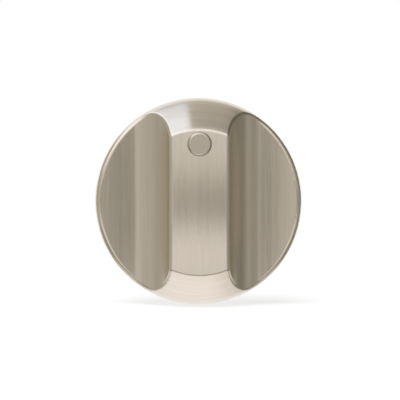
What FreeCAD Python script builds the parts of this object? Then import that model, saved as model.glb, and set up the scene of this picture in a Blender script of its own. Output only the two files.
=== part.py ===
import FreeCAD, Part
import math
import os

# Outer form, in millimetres, with the knob lying on its back: z runs from the back rim to the face
knob_diameter = 57.0
knob_depth = 26.0
crown_radius = 220.0
shoulder_width = 8.6
shoulder_slope = 48.0
shoulder_crown = 0.3
shoulder_round = 7.5
edge_round = 1.2
face_edge_extra = 0.2
rim_chamfer = 0.4

# Grip bar and finger scoops
grip_width = 16.4
scoop_depth = 10.9
scoop_reach = 9.4
scoop_corner_radius = 7.8
scoop_floor_radius = 60.0

# Casting
casting_wall = 2.4

# Indicator button
dot_diameter = 6.5
dot_edge_margin = 0.65
dot_pocket_depth = 1.2
dot_lift = 0.5
dot_edge_round = 0.65
dot_clearance = 0.05

# Hub insert
insert_clearance = 0.15
scoop_gap = 1.9
plate_thickness = 2.0
ring_wall = 1.8
rib_thickness = 1.6
rib_set_back = 3.0
hub_diameter = 16.0
hub_neck_diameter = 12.4
hub_end_gap = 3.7
hub_chamfer = 0.5
rib_chamfer = 0.4

# Shaft socket: round mouth for the collar at the shaft's root, then a D for the shaft
collar_diameter = 10.0
collar_clearance = 0.1
mouth_depth = 4.0
mouth_chamfer = 0.4
shaft_diameter = 8.0
shaft_across_flat = 6.5
shaft_clearance = 0.05
socket_end_wall = 1.6

# Leaf spring on the flat
spring_width = 3.7
spring_thickness = 0.35
spring_bite = 0.15
spring_side_clearance = 0.1
spring_slot_depth = 1.1
spring_tab_reach = 0.75
spring_tail_gap = 0.6

# Screws
screw_spacing = 26.0
screw_diameter = 2.6
screw_length = 8.0
screw_head_diameter = 5.4
screw_head_height = 2.0
screw_head_chamfer = 0.6
screw_hole_clearance = 0.3
screw_head_clearance = 0.3
screw_tower_wall = 1.2
screw_boss_wall = 1.9
screw_pilot_spare = 1.4
screw_tip_length = 1.0
cross_width = 0.8
cross_length = 3.0
cross_depth = 1.2

# How far cutting tools run past the material, and how close two heights count as one
overrun = 1.0
same_height = 0.01

# Worked-out sizes
knob_radius = knob_diameter / 2
face_radius = knob_radius - shoulder_width
face_edge_round = edge_round + face_edge_extra
slope = math.radians(shoulder_slope)
crown_centre = knob_depth - crown_radius
face_edge_height = crown_centre + math.sqrt(crown_radius**2 - face_radius**2)
shoulder_height = face_edge_height - (knob_radius - face_radius) * math.tan(slope)
shoulder_length = shoulder_width / math.cos(slope)
shoulder_radius = shoulder_length**2 / (8 * shoulder_crown) + shoulder_crown / 2
shoulder_middle_r = knob_radius - shoulder_width / 2 + shoulder_crown * math.sin(slope)
shoulder_middle_z = (shoulder_height + face_edge_height) / 2 + shoulder_crown * math.cos(slope)
shoulder_centre_r = shoulder_middle_r - shoulder_radius * math.sin(slope)
shoulder_centre_z = shoulder_middle_z - shoulder_radius * math.cos(slope)
shoulder_end_r = shoulder_centre_r + math.sqrt(shoulder_radius**2 - (knob_depth - shoulder_centre_z) ** 2)
cavity_radius = knob_radius - casting_wall
cavity_top = face_edge_height - casting_wall
scoop_lowest_x = grip_width / 2 + scoop_reach
scoop_turn = 2 * math.atan((scoop_reach - scoop_corner_radius) / (scoop_depth - scoop_corner_radius))
scoop_wall_radius = scoop_corner_radius + (scoop_depth - scoop_corner_radius) / math.sin(scoop_turn)
scoop_floor = knob_depth - scoop_depth
dot_radius = dot_diameter / 2
dot_height = face_radius - dot_edge_margin - dot_radius
dot_middle = crown_centre + math.sqrt(crown_radius**2 - dot_height**2)
dot_floor = dot_middle - dot_pocket_depth
dot_top = dot_middle + dot_lift
seat_height = scoop_floor - casting_wall - scoop_gap
plate_back = seat_height - plate_thickness
insert_radius = cavity_radius - insert_clearance
hub_end_height = cavity_top - hub_end_gap
mouth_radius = collar_diameter / 2 + collar_clearance
socket_radius = shaft_diameter / 2 + shaft_clearance
socket_flat = shaft_across_flat - shaft_diameter / 2 + shaft_clearance
socket_end_height = hub_end_height - socket_end_wall
slot_floor = socket_flat + spring_slot_depth
screw_places = [screw_spacing / 2, -screw_spacing / 2]

origin = FreeCAD.Vector(0, 0, 0)
up = FreeCAD.Vector(0, 0, 1)
full_turn = 360


def at(x, y, z):
    return FreeCAD.Vector(x, y, z)


def cylinder(radius, low, high, x=0, y=0):
    return Part.makeCylinder(radius, high - low, at(x, y, low), up)


def block(width, low_y, high_y, low_z, high_z):
    return Part.makeBox(width, high_y - low_y, high_z - low_z, at(-width / 2, low_y, low_z))


# Profiles of turned forms are points or edges in the plane of the shaft axis and the bar
def profile(outline):
    return [at(0, r, z) for r, z in outline]


def turned(edges):
    return Part.Face(Part.Wire(edges)).revolve(origin, up, full_turn)


def edges_at(shape, height):
    level = []
    for edge in shape.Edges:
        box = edge.BoundBox
        if abs(box.ZMin - height) < same_height and abs(box.ZMax - height) < same_height:
            level.append(edge)
    return level


def rounded_at(shape, height, radius):
    return shape.makeFillet(radius, edges_at(shape, height))


def chamfered_at(shape, height, size):
    return shape.makeChamfer(size, edges_at(shape, height))


def arc_edge(start, middle, end):
    return Part.Arc(start, middle, end).toShape()


# Arc across the knob about a point (x, z), with turns counted from the left and downwards
def arc_about(x, z, radius, start, end):
    turns = [start, (start + end) / 2, end]
    points = [at(x - radius * math.cos(turn), 0, z - radius * math.sin(turn)) for turn in turns]
    return arc_edge(*points)


# Tool for one finger scoop, along the bar: steep wall, tighter corner and wide dished floor, all tangent
def scoop_tool(growth):
    down = math.pi / 2
    outer_x = knob_radius + overrun
    wall = scoop_wall_radius + growth
    corner = scoop_corner_radius + growth
    floor = scoop_floor_radius + growth
    wall_x = grip_width / 2 + scoop_wall_radius
    corner_z = scoop_floor + scoop_corner_radius
    floor_z = scoop_floor + scoop_floor_radius
    floor_end = down + math.asin((outer_x - scoop_lowest_x) / floor)
    edges = [
        arc_about(wall_x, knob_depth, wall, 0, scoop_turn),
        arc_about(scoop_lowest_x, corner_z, corner, scoop_turn, down),
        arc_about(scoop_lowest_x, floor_z, floor, down, floor_end),
    ]
    edges += Part.makePolygon([
        edges[-1].lastVertex().Point,
        at(outer_x, 0, knob_depth + overrun),
        at(grip_width / 2 - growth, 0, knob_depth + overrun),
        edges[0].firstVertex().Point,
    ]).Edges
    tool = Part.Face(Part.Wire(edges)).extrude(at(0, 2 * outer_x, 0))
    tool.translate(at(0, -outer_x, 0))
    return tool


def both_sides(tool):
    return [tool, tool.mirror(origin, at(1, 0, 0))]


def is_scoop(face):
    return isinstance(face.Surface, Part.Cylinder) and abs(face.Surface.Axis.z) < abs(face.Surface.Axis.y)


# Edges where the scoops break out through the skirt, the shoulders and the face
def scoop_borders(shape):
    outside = [edge for face in shape.Faces if not is_scoop(face) for edge in face.Edges]
    inside = [edge for face in shape.Faces if is_scoop(face) for edge in face.Edges]
    return [edge for edge in inside if any(edge.isSame(other) for other in outside)]


# Ball of the crowned face, lying on its side so that no pole or seam falls on the face
def crown_ball():
    centre = at(0, 0, crown_centre)
    sideways = at(1, 0, 0)
    ball = Part.makeSphere(crown_radius, centre, sideways)
    ball.rotate(centre, sideways, full_turn / 2)
    return ball


# Body: turned form, scoops, even-walled cavity from the back, screw bosses and the dot's pocket
def make_body():
    outline = profile([
        (shoulder_end_r, knob_depth),
        (0, knob_depth),
        (0, 0),
        (knob_radius, 0),
        (knob_radius, shoulder_height),
        (shoulder_middle_r, shoulder_middle_z),
    ])
    shoulder = arc_edge(outline[4], outline[5], outline[0])
    form = turned(Part.makePolygon(outline[:5]).Edges + [shoulder])
    form = form.common(crown_ball())
    form = rounded_at(form, shoulder_height, shoulder_round)
    form = rounded_at(form, face_edge_height, face_edge_round)
    form = form.cut(both_sides(scoop_tool(0)))
    form = form.makeFillet(edge_round, scoop_borders(form))
    form = chamfered_at(form, 0, rim_chamfer)

    inner_r = face_radius - casting_wall * math.sin(slope)
    inner_z = face_edge_height - casting_wall * math.cos(slope)
    hollow = profile([
        (0, -overrun),
        (cavity_radius + rim_chamfer, -overrun),
        (cavity_radius + rim_chamfer, 0),
        (cavity_radius, rim_chamfer),
        (cavity_radius, inner_z - (cavity_radius - inner_r) * math.tan(slope)),
        (inner_r + (inner_z - cavity_top) / math.tan(slope), cavity_top),
        (0, cavity_top),
    ])
    cavity = turned(Part.makePolygon(hollow + hollow[:1]).Edges)
    cavity = cavity.cut(both_sides(scoop_tool(casting_wall)))
    boss_radius = screw_diameter / 2 + screw_boss_wall
    bosses = [cylinder(boss_radius, seat_height, knob_depth, 0, y) for y in screw_places]
    cavity = cavity.cut(bosses)
    pilot_end = plate_back + screw_length + screw_pilot_spare
    pilots = [cylinder(screw_diameter / 2, seat_height, pilot_end, 0, y) for y in screw_places]
    pocket = cylinder(dot_radius + dot_clearance, dot_floor, knob_depth + overrun, 0, dot_height)
    return form.cut([cavity, pocket] + pilots)


# Indicator: flat-topped button with a rounded edge, square to the shaft axis
def make_dot():
    button = cylinder(dot_radius, dot_floor, dot_top, 0, dot_height)
    return rounded_at(button, dot_top, dot_edge_round)


# Hub insert: seat plate, outer ring, crossed ribs, screw towers and the shaft's hub
def make_insert():
    head_hole = screw_head_diameter / 2 + screw_head_clearance
    shank_hole = screw_diameter / 2 + screw_hole_clearance
    rib_end = insert_radius - ring_wall / 2
    plate = cylinder(insert_radius, plate_back, seat_height)
    ring = cylinder(insert_radius, rib_set_back, plate_back)
    ring = ring.cut(cylinder(insert_radius - ring_wall, rib_set_back - overrun, plate_back + overrun))
    ring = chamfered_at(ring, rib_set_back, rib_chamfer)
    rib = block(rib_thickness, -rib_end, rib_end, rib_set_back, plate_back)
    rib = chamfered_at(rib, rib_set_back, rib_chamfer)
    cross_rib = rib.copy()
    cross_rib.rotate(origin, up, full_turn / 4)
    hub = chamfered_at(cylinder(hub_diameter / 2, 0, plate_back), 0, hub_chamfer)
    neck = cylinder(hub_neck_diameter / 2, seat_height, hub_end_height)
    neck = chamfered_at(neck, hub_end_height, hub_chamfer)
    tower_radius = head_hole + screw_tower_wall
    towers = [cylinder(tower_radius, rib_set_back, plate_back, 0, y) for y in screw_places]
    towers = [chamfered_at(tower, rib_set_back, rib_chamfer) for tower in towers]
    insert = plate.fuse([ring, rib, cross_rib, hub, neck] + towers).removeSplitter()

    mouth = cylinder(mouth_radius, -overrun, mouth_depth)
    lead_in = Part.makeCone(mouth_radius + mouth_chamfer, mouth_radius, mouth_chamfer, origin, up)
    socket = cylinder(socket_radius, 0, socket_end_height)
    socket = socket.common(block(shaft_diameter * 2, -shaft_diameter, socket_flat, 0, knob_depth))
    slot_width = spring_width + 2 * spring_side_clearance
    slot = block(slot_width, 0, slot_floor, 0, socket_end_height)
    tab_notch = block(slot_width, 0, slot_floor + spring_tab_reach, 0, mouth_depth + spring_thickness)
    tab_notch = tab_notch.common(cylinder(mouth_radius, 0, knob_depth))
    head_holes = [cylinder(head_hole, 0, plate_back, 0, y) for y in screw_places]
    shank_holes = [cylinder(shank_hole, 0, knob_depth, 0, y) for y in screw_places]
    return insert.cut([mouth, lead_in, socket, slot, tab_notch] + head_holes + shank_holes)


# Spring: leaf bowed towards the shaft, with a tab turned out over the socket's shoulder
def make_spring():
    tab_low = mouth_depth
    tab_high = mouth_depth + spring_thickness
    start_z = (tab_low + tab_high) / 2
    end_z = socket_end_height - spring_tail_gap
    middle_z = (start_z + end_z) / 2
    crest = socket_flat - spring_bite
    half_span = (end_z - start_z) / 2
    bow = slot_floor - crest - spring_thickness
    radius = (half_span**2 + bow**2) / (2 * bow)
    centre_y = slot_floor - bow + radius
    spread = math.asin(half_span / radius)

    def on_leaf(r, turn):
        return at(-spring_width / 2, centre_y - r * math.cos(turn), middle_z + r * math.sin(turn))

    outer = radius + spring_thickness
    edges = [
        arc_edge(on_leaf(radius, -spread), on_leaf(radius, 0), on_leaf(radius, spread)),
        Part.makeLine(on_leaf(radius, spread), on_leaf(outer, spread)),
        arc_edge(on_leaf(outer, spread), on_leaf(outer, 0), on_leaf(outer, -spread)),
        Part.makeLine(on_leaf(outer, -spread), on_leaf(radius, -spread)),
    ]
    leaf = Part.Face(Part.Wire(edges)).extrude(at(spring_width, 0, 0))
    tab = block(spring_width, slot_floor - spring_thickness, slot_floor + spring_tab_reach, tab_low, tab_high)
    tab = tab.common(cylinder(mouth_radius - spring_side_clearance, 0, knob_depth))
    return leaf.fuse(tab).removeSplitter()


# One screw: pan head towards the back, cross recess, shank with a tapered tip
def make_screw(y):
    head_back = plate_back - screw_head_height
    tip = plate_back + screw_length
    head = chamfered_at(cylinder(screw_head_diameter / 2, head_back, plate_back), head_back, screw_head_chamfer)
    shank = cylinder(screw_diameter / 2, plate_back, tip - screw_tip_length)
    point = Part.makeCone(
        screw_diameter / 2, screw_diameter / 4, screw_tip_length, at(0, 0, tip - screw_tip_length), up
    )
    slot = block(cross_width, -cross_length / 2, cross_length / 2, head_back - overrun, head_back + cross_depth)
    cross = slot.copy()
    cross.rotate(origin, up, full_turn / 4)
    screw = head.fuse([shank, point]).cut([slot, cross])
    screw.translate(at(0, y, 0))
    return screw


# The finished knob stands as installed: face towards -Y, dot up, shaft axis along Y
def stood_up(shape):
    placed = shape.copy()
    placed.rotate(origin, at(1, 0, 0), full_turn / 4)
    return placed


nodes = {
    "knob_body": make_body(),
    "indicator_dot": make_dot(),
    "hub_insert": make_insert(),
    "shaft_spring": make_spring(),
    "insert_screws": Part.makeCompound([make_screw(y) for y in screw_places]),
}

os.makedirs("parts", exist_ok=True)
for name, shape in nodes.items():
    stood_up(shape).exportStep("parts/" + name + ".step")
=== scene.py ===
import math

import bmesh
import bpy
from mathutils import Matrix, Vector


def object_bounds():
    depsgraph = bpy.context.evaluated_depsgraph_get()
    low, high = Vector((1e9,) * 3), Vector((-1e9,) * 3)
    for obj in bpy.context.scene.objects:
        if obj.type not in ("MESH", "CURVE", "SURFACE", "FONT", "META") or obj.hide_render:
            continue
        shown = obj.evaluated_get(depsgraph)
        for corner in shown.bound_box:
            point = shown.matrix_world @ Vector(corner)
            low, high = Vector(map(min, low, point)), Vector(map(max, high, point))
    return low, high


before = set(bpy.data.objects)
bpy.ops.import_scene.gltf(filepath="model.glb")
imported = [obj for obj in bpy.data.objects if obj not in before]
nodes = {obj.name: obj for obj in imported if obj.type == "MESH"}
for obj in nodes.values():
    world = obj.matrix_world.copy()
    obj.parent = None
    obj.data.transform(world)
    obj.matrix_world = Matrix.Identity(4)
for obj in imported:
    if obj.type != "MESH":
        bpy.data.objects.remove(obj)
cad_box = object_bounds()
scene = bpy.context.scene

WHITE = (1, 1, 1, 1)

# Camera: metres in front of the back rim, its lean off the shaft axis, and the point that it looks at
CAMERA_DISTANCE = 0.6
CAMERA_LEFT = math.radians(1.4)
CAMERA_UP = math.radians(2.4)
CAMERA_LENS = 191.6
CAMERA_CLIP = 0.01
AIM = Vector((0.00043, -0.012, 0.00030))

# Lamp: a wide disk overhead, in metres and watts
LAMP_SIZE = 1.2
LAMP_POWER = 17.0
LAMP_PLACE = Vector((-0.25, -0.35, 1.1))

# Floor: just under the knob, and a little short of white to the camera near it so that the shadow shows
FLOOR_HEIGHT = cad_box[0][2] - 0.0001
FLOOR_RADIUS = 1.6
FLOOR_SEGMENTS = 96
FLOOR_GRAIN = 30.0
FLOOR_DARK = (0.88, 0.88, 0.88, 1)
FLOOR_LIGHT = (0.92, 0.92, 0.92, 1)
FLOOR_GLOW_NEAR = 0.75
FLOOR_GLOW_FADE = (0.06, 0.30)

# Studio levels: brightness of what the metal reflects, from dark room (0) to white card (1) or brighter
GAP_LEFT = 0.59
GAP_RIGHT = 0.19
STRIP_RIGHT = 0.51
FAR_LEFT = 0.475
FAR_RIGHT = 0.30
EDGE_RIGHT = 0.37
CARD_OVER_LENS = 0.70
CARD_UNDER_LENS = 0.84
ROOM_BELOW = 0.30
SOFTBOX = 1.0
SOFTBOX_LEFT = 1.2
SIDE_LEFT = 0.40
SIDE_RIGHT = 0.29
SIDE_RISE = 0.20
FAR_SIDE_RIGHT = 0.21
FAR_SIDE_RIGHT_UPPER = 0.14
LEFT_TOP = 1.14
LEFT_TOP_BACK = 0.68
CARD_BELOW = 0.99
CARD_BELOW_LEFT = 0.80
CARD_BELOW_RIGHT = 0.72
BACK_TOP = 0.9
DARK_TINT = (1.0, 0.95, 0.76, 1)
WHITE_TINT = (1.0, 0.965, 0.99, 1)
COOL_TINT = (0.925, 0.97, 1.075, 1)

# Studio borders: where each part begins and where it is full, by a ray's direction (x right, y back, z up)
GAP_TURN_X = (-0.17, 0.01)
STRIP_START_X = (0.17, 0.27)
STRIP_STOP_X = (0.44, 0.34)
FAR_LEFT_X = (-0.20, -0.40)
FAR_RIGHT_X = (0.40, 0.55)
EDGE_RIGHT_X = (0.72, 0.88)
CARD_ENDS_X = (0.60, 0.30)
OVER_LENS_Z = (-0.015, 0.07)
UNDER_LENS_Z = (-0.075, -0.14)
ROOM_BELOW_Z = (-0.26, -0.36)
SOFTBOX_START_X = (-0.85, -0.60)
SOFTBOX_STOP_X = (0.60, 0.30)
SOFTBOX_LEFT_X = (0.0, -0.2)
SOFTBOX_Z = (0.20, 0.32)
RING_Y = (-0.30, -0.15)
SIDE_TURN_X = (-0.30, 0.40)
SIDE_RISE_X = (0.55, 0.25)
SIDE_RISE_Y = (-0.05, 0.30)
FAR_SIDE_X = (0.30, 0.65)
FAR_SIDE_UPPER_Z = (0.0, 0.30)
LEFT_TOP_X = (-0.08, -0.12)
LEFT_TOP_Z = (0.55, 0.75)
LEFT_TOP_BACK_Y = (-0.05, 0.32)
LEFT_TOP_FAR_X = (-0.30, -0.50)
BELOW_Z = (-0.55, -0.75)
BEHIND_Y = (0.25, 0.50)
BEHIND_Z = (0.0, -0.20)
BELOW_LEFT_X = (-0.20, -0.70)
BELOW_RIGHT_X = (0.10, 0.50)
BACK_TOP_Y = (0.80, 0.95)
BACK_TOP_Z = (0.05, 0.20)
BACKDROP_Y = (0.50, 0.80)

# Rounded edge between face and shoulder: its place in metres, and the sine of its lean at each side
EDGE_INNER = 0.01942
EDGE_OUTER = 0.02026
EDGE_STARTS = (0.01940, 0.01942)
EDGE_STOPS = (0.02095, 0.02085)
EDGE_ENDS_X = (0.0073, 0.0067)
EDGE_DEPTH_Y = (-0.0233, -0.0236)
FACE_LEAN = 0.088
SHOULDER_LEAN = 0.684

# Body: colours, brush lines and roughness of the satin metal
METAL_DARK = (0.80, 0.733, 0.63, 1)
METAL_LIGHT = (0.885, 0.818, 0.715, 1)
METAL_CLOUDED = (0.73, 0.668, 0.58, 1)
METAL_STREAKS = (0.25, 0.75)
METAL_ROUGH = (0.16, 0.24)
METAL_CLOUD_ROUGH = (-0.015, 0.015)
METAL_CLOUD_SHARE = 0.10
METAL_CLOUDS = 90.0
FACE_DEPTH_Y = (-0.0235, -0.0248)
FACE_ROUGHER = 0.05
TURNED_LEAN = (0.14, 0.34)
TURNED_RADIUS = 0.026
LINE_STRETCH = 0.02
FINE_LINES = 5200.0
FINE_SHARE = 0.55
BROAD_LINES = 1100.0
BROAD_SHARE = 0.45
LINE_DEPTH = 0.00004
LINE_STRENGTH = 0.5

# Indicator: colours, grain and roughness of the matt metal
DOT_DARK = (0.68, 0.62, 0.53, 1)
DOT_LIGHT = (0.76, 0.70, 0.61, 1)
DOT_ROUGH = (0.25, 0.33)
DOT_CLOUD_ROUGH = (-0.03, 0.03)
DOT_GRAIN = 9000.0
DOT_CLOUDS = 700.0
DOT_GRAIN_DEPTH = 0.00002
DOT_GRAIN_STRENGTH = 0.25

# Insert: colours, grain and rubbed edges of the moulded plastic
PLASTIC_DARK = (0.040, 0.040, 0.043, 1)
PLASTIC_LIGHT = (0.062, 0.061, 0.062, 1)
PLASTIC_WORN = (0.13, 0.13, 0.13, 1)
PLASTIC_WEAR = (0.52, 0.60)
PLASTIC_WEAR_SHARE = 0.5
PLASTIC_ROUGH = (0.46, 0.62)
PLASTIC_FLOW_ROUGH = (-0.05, 0.05)
PLASTIC_GRAIN = 4200.0
PLASTIC_FLOW = 160.0
PLASTIC_GRAIN_DEPTH = 0.00005
PLASTIC_GRAIN_STRENGTH = 0.5

# Spring and screws: dark and light colour, stretch of the grain along each axis, and roughness
SPRING = ((0.50, 0.50, 0.50, 1), (0.68, 0.68, 0.67, 1), (1.0, 0.05, 1.0), (0.22, 0.36))
SCREW = ((0.58, 0.58, 0.56, 1), (0.72, 0.72, 0.71, 1), (1.0, 1.0, 1.0), (0.26, 0.42))
STEEL_GRAIN = 3600.0
STEEL_MOTTLE = 900.0
STEEL_GRAIN_DEPTH = 0.00002
STEEL_GRAIN_STRENGTH = 0.3


class Nodes:
    """Builds a node tree by short calls: a value is a number, a tuple or another node's output."""

    def __init__(self, tree):
        self.tree = tree
        tree.nodes.clear()

    def add(self, kind, inputs=None, **settings):
        node = self.tree.nodes.new("ShaderNode" + kind)
        for key, value in settings.items():
            setattr(node, key, value)
        for key, value in (inputs or {}).items():
            if isinstance(value, bpy.types.NodeSocket):
                self.tree.links.new(value, node.inputs[key])
            else:
                node.inputs[key].default_value = value
        return node

    def math(self, operation, *values):
        return self.add("Math", dict(enumerate(values)), operation=operation).outputs[0]

    def plus(self, a, b):
        return self.math("ADD", a, b)

    def times(self, a, b):
        return self.math("MULTIPLY", a, b)

    def vector(self, operation, *values):
        return self.add("VectorMath", dict(enumerate(values)), operation=operation).outputs[0]

    def split(self, vector):
        return self.add("SeparateXYZ", {0: vector}).outputs

    def join(self, x, y, z):
        return self.add("CombineXYZ", {0: x, 1: y, 2: z}).outputs[0]

    def step(self, value, border):
        inputs = {"Value": value, "From Min": border[0], "From Max": border[1]}
        return self.add("MapRange", inputs, interpolation_type="SMOOTHSTEP").outputs[0]

    def scaled(self, value, ends):
        return self.add("MapRange", {"Value": value, "To Min": ends[0], "To Max": ends[1]}).outputs[0]

    def mix(self, factor, a, b):
        return self.add("Mix", {0: factor, 2: a, 3: b}).outputs[0]

    def mix_vector(self, factor, a, b):
        return self.add("Mix", {0: factor, 4: a, 5: b}, data_type="VECTOR").outputs[1]

    def tint(self, factor, a, b):
        return self.add("Mix", {0: factor, 6: a, 7: b}, data_type="RGBA").outputs[2]

    def noise(self, vector, scale, detail=3.0, roughness=0.55):
        inputs = {"Vector": vector, "Scale": scale, "Detail": detail, "Roughness": roughness}
        return self.add("TexNoise", inputs).outputs[0]

    def bump(self, height, distance, strength, **more):
        inputs = {"Height": height, "Distance": distance, "Strength": strength, **more}
        return self.add("Bump", inputs).outputs[0]


def material(name):
    made = bpy.data.materials.new(name)
    made.use_nodes = True
    return made, Nodes(made.node_tree)


def surface(tree, inputs):
    shader = tree.add("BsdfPrincipled", inputs)
    tree.add("OutputMaterial", {"Surface": shader.outputs[0]})


# Normal of the body, worked out from the radius on the face's rounded edge, where the mesh's own is uneven
def edge_normal(tree, normal, x, y, radius, radial):
    inputs = {"Value": radius, "From Min": EDGE_INNER, "From Max": EDGE_OUTER}
    inputs.update({"To Min": FACE_LEAN, "To Max": SHOULDER_LEAN})
    lean = tree.add("MapRange", inputs).outputs[0]
    forward = tree.math("SQRT", tree.math("SUBTRACT", 1.0, tree.times(lean, lean)))
    outward = tree.vector("MULTIPLY", radial, tree.join(lean, 0.0, lean))
    smooth = tree.vector("SUBTRACT", outward, tree.join(0.0, forward, 0.0))
    across = tree.times(tree.step(radius, EDGE_STARTS), tree.step(radius, EDGE_STOPS))
    along = tree.step(tree.math("ABSOLUTE", x), EDGE_ENDS_X)
    front = tree.step(y, EDGE_DEPTH_Y)
    share = tree.times(across, tree.times(along, front))
    return tree.mix_vector(share, normal, smooth)


# Brushed metal: straight lines along the bar on face and scoops, turned lines on shoulders and skirt
def satin_metal():
    made, tree = material("satin_metal")
    coords = tree.add("TexCoord").outputs
    x, y, z = tree.split(coords["Object"])
    radius = tree.math("SQRT", tree.plus(tree.times(x, x), tree.times(z, z)))
    radial = tree.vector("NORMALIZE", tree.join(x, 0.0, z))
    normal = edge_normal(tree, coords["Normal"], x, y, radius, radial)
    turned = tree.step(tree.math("ABSOLUTE", tree.split(normal)[2]), TURNED_LEAN)
    arc = tree.times(tree.math("ARCTAN2", x, z), TURNED_RADIUS)
    along = tree.join(x, y, tree.times(z, LINE_STRETCH))
    around = tree.join(radius, y, tree.times(arc, LINE_STRETCH))
    fine = tree.mix(turned, tree.noise(along, FINE_LINES, 4.0), tree.noise(around, FINE_LINES, 4.0))
    broad = tree.mix(turned, tree.noise(along, BROAD_LINES), tree.noise(around, BROAD_LINES))
    streak = tree.plus(tree.times(fine, FINE_SHARE), tree.times(broad, BROAD_SHARE))
    cloud = tree.noise(coords["Object"], METAL_CLOUDS)
    colour = tree.tint(tree.step(streak, METAL_STREAKS), METAL_DARK, METAL_LIGHT)
    colour = tree.tint(tree.times(cloud, METAL_CLOUD_SHARE), colour, METAL_CLOUDED)
    rough = tree.plus(tree.scaled(streak, METAL_ROUGH), tree.scaled(cloud, METAL_CLOUD_ROUGH))
    rough = tree.plus(rough, tree.times(tree.step(y, FACE_DEPTH_Y), FACE_ROUGHER))
    surface(tree, {
        "Base Color": colour,
        "Metallic": 1.0,
        "Roughness": rough,
        "Anisotropic": 0.8,
        "Tangent": tree.mix_vector(turned, (1, 0, 0), radial),
        "Normal": tree.bump(streak, LINE_DEPTH, LINE_STRENGTH, Normal=normal),
    })
    return made


# Indicator: fine matt metal without lines
def dot_metal():
    made, tree = material("dot_metal")
    place = tree.add("TexCoord").outputs["Object"]
    grain = tree.noise(place, DOT_GRAIN, 2.0)
    cloud = tree.noise(place, DOT_CLOUDS)
    surface(tree, {
        "Base Color": tree.tint(grain, DOT_DARK, DOT_LIGHT),
        "Metallic": 1.0,
        "Roughness": tree.plus(tree.scaled(grain, DOT_ROUGH), tree.scaled(cloud, DOT_CLOUD_ROUGH)),
        "Normal": tree.bump(grain, DOT_GRAIN_DEPTH, DOT_GRAIN_STRENGTH),
    })
    return made


# Moulded plastic: spark-eroded grain, slight flow marks, rubbed edges
def insert_plastic():
    made, tree = material("insert_plastic")
    place = tree.add("TexCoord").outputs["Object"]
    grain = tree.noise(place, PLASTIC_GRAIN, 4.0, 0.6)
    flow = tree.noise(place, PLASTIC_FLOW, 4.0)
    wear = tree.step(tree.add("NewGeometry").outputs["Pointiness"], PLASTIC_WEAR)
    colour = tree.tint(flow, PLASTIC_DARK, PLASTIC_LIGHT)
    surface(tree, {
        "Base Color": tree.tint(tree.times(wear, PLASTIC_WEAR_SHARE), colour, PLASTIC_WORN),
        "Roughness": tree.plus(tree.scaled(grain, PLASTIC_ROUGH), tree.scaled(flow, PLASTIC_FLOW_ROUGH)),
        "Normal": tree.bump(grain, PLASTIC_GRAIN_DEPTH, PLASTIC_GRAIN_STRENGTH),
    })
    return made


# Rolled strip with lines along the leaf, or zinc plating with faint mottling
def small_steel(name, dark, light, stretch, rough):
    made, tree = material(name)
    place = tree.add("TexCoord").outputs["Object"]
    grain = tree.noise(tree.vector("MULTIPLY", place, stretch), STEEL_GRAIN)
    mottle = tree.noise(place, STEEL_MOTTLE)
    mean = tree.times(tree.plus(grain, mottle), 0.5)
    surface(tree, {
        "Base Color": tree.tint(mean, dark, light),
        "Metallic": 1.0,
        "Roughness": tree.scaled(grain, rough),
        "Normal": tree.bump(grain, STEEL_GRAIN_DEPTH, STEEL_GRAIN_STRENGTH),
    })
    return made


finishes = {
    "knob_body": satin_metal(),
    "indicator_dot": dot_metal(),
    "hub_insert": insert_plastic(),
    "shaft_spring": small_steel("spring_steel", *SPRING),
    "insert_screws": small_steel("screw_steel", *SCREW),
}
for name, finish in finishes.items():
    nodes[name].data.materials.clear()
    nodes[name].data.materials.append(finish)


# Pale floor: white to the camera apart from the knob's shadow, and hidden from the metal's reflections
def make_floor():
    mesh = bpy.data.meshes.new("floor")
    shape = bmesh.new()
    bmesh.ops.create_circle(shape, cap_ends=True, segments=FLOOR_SEGMENTS, radius=FLOOR_RADIUS)
    shape.to_mesh(mesh)
    shape.free()
    floor = bpy.data.objects.new("floor", mesh)
    floor.location.z = FLOOR_HEIGHT
    scene.collection.objects.link(floor)
    made, tree = material("floor")
    rays = tree.add("LightPath").outputs
    place = tree.add("TexCoord").outputs["Object"]
    distance = tree.add("VectorMath", {0: place}, operation="LENGTH").outputs["Value"]
    shade = tree.tint(tree.noise(place, FLOOR_GRAIN), FLOOR_DARK, FLOOR_LIGHT)
    matt = tree.add("BsdfDiffuse", {"Color": shade})
    glow = tree.add("Emission", {"Color": WHITE, "Strength": 1.0})
    share = tree.mix(tree.step(distance, FLOOR_GLOW_FADE), FLOOR_GLOW_NEAR, 1.0)
    share = tree.times(rays["Is Camera Ray"], share)
    share = tree.math("MAXIMUM", rays["Is Transmission Ray"], share)
    mixed = tree.add("MixShader", {0: share, 1: matt.outputs[0], 2: glow.outputs[0]})
    tree.add("OutputMaterial", {"Surface": mixed.outputs[0]})
    mesh.materials.append(made)
    floor.visible_glossy = False


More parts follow.
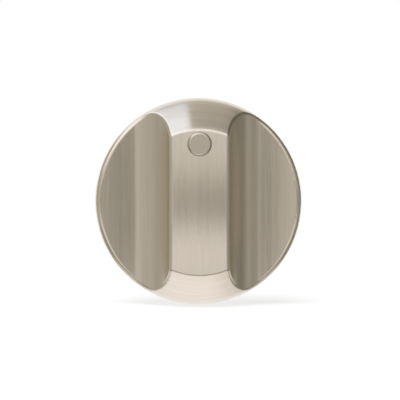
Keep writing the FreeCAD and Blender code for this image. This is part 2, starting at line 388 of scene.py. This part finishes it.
# World: a white backdrop, also in reflections, and in front of the knob the studio that the metal reflects
def make_world():
    world = bpy.data.worlds.new("studio")
    world.use_nodes = True
    scene.world = world
    tree = Nodes(world.node_tree)
    x, y, z = tree.split(tree.add("TexCoord").outputs["Generated"])
    beside = tree.math("ABSOLUTE", x)
    narrow = tree.step(beside, CARD_ENDS_X)

    # Round the lens: a dim gap with a paler strip at its height, cards over and under it, a softbox above
    level = tree.mix(tree.step(x, GAP_TURN_X), GAP_LEFT, GAP_RIGHT)
    strip = tree.times(tree.step(x, STRIP_START_X), tree.step(x, STRIP_STOP_X))
    level = tree.mix(strip, level, STRIP_RIGHT)
    level = tree.mix(tree.step(x, FAR_LEFT_X), level, FAR_LEFT)
    level = tree.mix(tree.step(x, FAR_RIGHT_X), level, FAR_RIGHT)
    level = tree.mix(tree.step(x, EDGE_RIGHT_X), level, EDGE_RIGHT)
    level = tree.mix(tree.times(narrow, tree.step(z, OVER_LENS_Z)), level, CARD_OVER_LENS)
    level = tree.mix(tree.times(narrow, tree.step(z, UNDER_LENS_Z)), level, CARD_UNDER_LENS)
    level = tree.mix(tree.step(z, ROOM_BELOW_Z), level, ROOM_BELOW)
    box = tree.times(tree.step(x, SOFTBOX_START_X), tree.step(x, SOFTBOX_STOP_X))
    box = tree.times(box, tree.step(z, SOFTBOX_Z))
    level = tree.mix(box, level, tree.mix(tree.step(x, SOFTBOX_LEFT_X), SOFTBOX, SOFTBOX_LEFT))

    # Round the knob's sides: darker on the right, with a bright box at the upper left
    ring = tree.mix(tree.step(x, SIDE_TURN_X), SIDE_LEFT, SIDE_RIGHT)
    rise = tree.times(tree.step(y, SIDE_RISE_Y), tree.step(beside, SIDE_RISE_X))
    ring = tree.plus(ring, tree.times(rise, SIDE_RISE))
    far_side = tree.mix(tree.step(z, FAR_SIDE_UPPER_Z), FAR_SIDE_RIGHT, FAR_SIDE_RIGHT_UPPER)
    ring = tree.mix(tree.step(x, FAR_SIDE_X), ring, far_side)
    left_top = tree.times(tree.step(z, LEFT_TOP_Z), tree.step(x, LEFT_TOP_X))
    graded = tree.mix(tree.step(y, LEFT_TOP_BACK_Y), LEFT_TOP, LEFT_TOP_BACK)
    graded = tree.mix(tree.step(x, LEFT_TOP_FAR_X), graded, LEFT_TOP)
    ring = tree.mix(left_top, ring, graded)
    level = tree.mix(tree.step(y, RING_Y), level, ring)

    # Under and behind the knob: a pale card, dimmer to both sides, and a pale patch at the upper back
    behind = tree.times(tree.step(y, BEHIND_Y), tree.step(z, BEHIND_Z))
    below = tree.math("MAXIMUM", tree.step(z, BELOW_Z), behind)
    card = tree.mix(tree.step(x, BELOW_LEFT_X), CARD_BELOW, CARD_BELOW_LEFT)
    card = tree.mix(tree.step(x, BELOW_RIGHT_X), card, CARD_BELOW_RIGHT)
    level = tree.mix(below, level, card)
    back_top = tree.times(tree.step(y, BACK_TOP_Y), tree.step(z, BACK_TOP_Z))
    level = tree.mix(tree.times(narrow, back_top), level, BACK_TOP)

    # White to the camera, through glass, and to reflections that reach the backdrop behind the knob
    rays = tree.add("LightPath").outputs
    backdrop = tree.times(rays["Is Glossy Ray"], tree.step(y, BACKDROP_Y))
    seen = tree.math("MAXIMUM", rays["Is Camera Ray"], rays["Is Transmission Ray"])
    seen = tree.math("MAXIMUM", seen, backdrop)
    tint = tree.tint(level, DARK_TINT, WHITE_TINT)
    tint = tree.tint(left_top, tint, COOL_TINT)
    tint = tree.tint(seen, tint, WHITE)
    level = tree.mix(seen, level, 1.0)
    sky = tree.add("Background", {"Color": tint, "Strength": level})
    tree.add("OutputWorld", {"Surface": sky.outputs[0]})


# Wide soft lamp overhead, for the floor, its shadow and the matt pieces
def make_lamp():
    lamp = bpy.data.objects.new("overhead", bpy.data.lights.new("overhead", "AREA"))
    lamp.data.shape = "DISK"
    lamp.data.size = LAMP_SIZE
    lamp.data.energy = LAMP_POWER
    lamp.location = LAMP_PLACE
    lamp.rotation_euler = (-LAMP_PLACE).to_track_quat("-Z", "Y").to_euler()
    lamp.visible_glossy = False
    lamp.visible_camera = False
    scene.collection.objects.link(lamp)


# Camera in front of the knob, a little to the left and above, as the photograph was taken
def make_camera():
    camera = bpy.data.objects.new("camera", bpy.data.cameras.new("camera"))
    left = CAMERA_DISTANCE * math.tan(CAMERA_LEFT)
    height = CAMERA_DISTANCE * math.tan(CAMERA_UP)
    camera.location = (-left, -CAMERA_DISTANCE, height)
    camera.rotation_euler = (AIM - camera.location).to_track_quat("-Z", "Y").to_euler()
    camera.data.lens = CAMERA_LENS
    camera.data.clip_start = CAMERA_CLIP
    scene.collection.objects.link(camera)
    scene.camera = camera


make_floor()
make_world()
make_lamp()
make_camera()
scene.view_settings.view_transform = "Standard"
